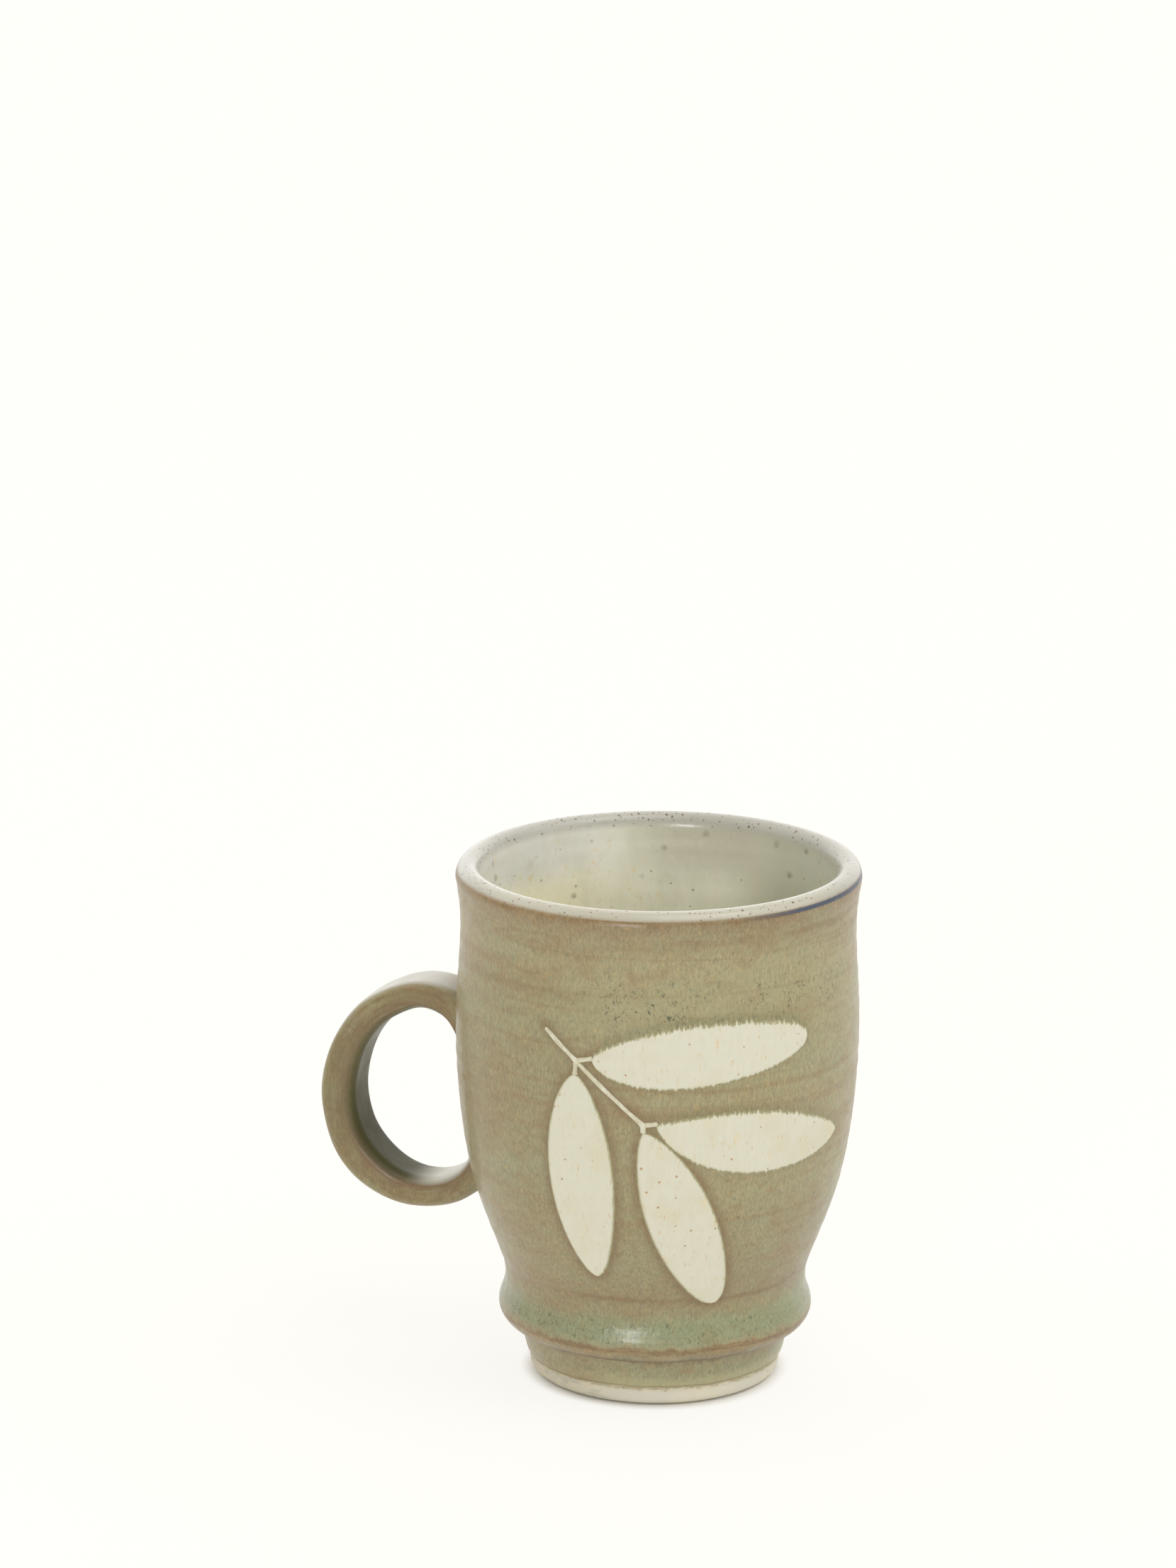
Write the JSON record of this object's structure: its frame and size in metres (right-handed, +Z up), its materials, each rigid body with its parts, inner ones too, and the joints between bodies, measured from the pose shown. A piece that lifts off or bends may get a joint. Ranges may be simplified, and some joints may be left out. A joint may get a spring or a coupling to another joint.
{
  "type": "mug",
  "caption": "Hand-thrown stoneware mug with a turned foot, a looped strap handle and four raised cream leaves on an olive glaze.",
  "frame": {"origin": "centre of the flat base, on the cup's axis, where the mug stands", "axes": "+Z up the cup's axis, the handle points along -X, the leaves face -Y and a little towards +X"},
  "size_m": [0.117, 0.0858, 0.112],
  "materials": {
    "bare_clay": "unglazed cream stoneware, matt, lightly speckled",
    "cream_glaze": "cream liner glaze, satin gloss, brown iron specks",
    "olive_glaze": "olive khaki glaze, satin gloss, breaking brown on edges",
    "handle_olive_glaze": "olive khaki glaze pooled darker inside the loop, satin gloss",
    "leaf_slip": "cream slip under thin clear glaze, satin, fine orange specks"
  },
  "bodies": {
    "root": {"clay_cup": "bare_clay", "handle_strap": "bare_clay", "upper_slip_joint": "bare_clay", "lower_slip_joint": "bare_clay", "liner_glaze": "cream_glaze", "wall_glaze": "olive_glaze", "handle_glaze": "handle_olive_glaze", "leaf_stem": "leaf_slip", "leaf_upper_right": "leaf_slip", "leaf_hanging": "leaf_slip", "leaf_right": "leaf_slip", "leaf_diagonal": "leaf_slip"}
  },
  "joints": []
}
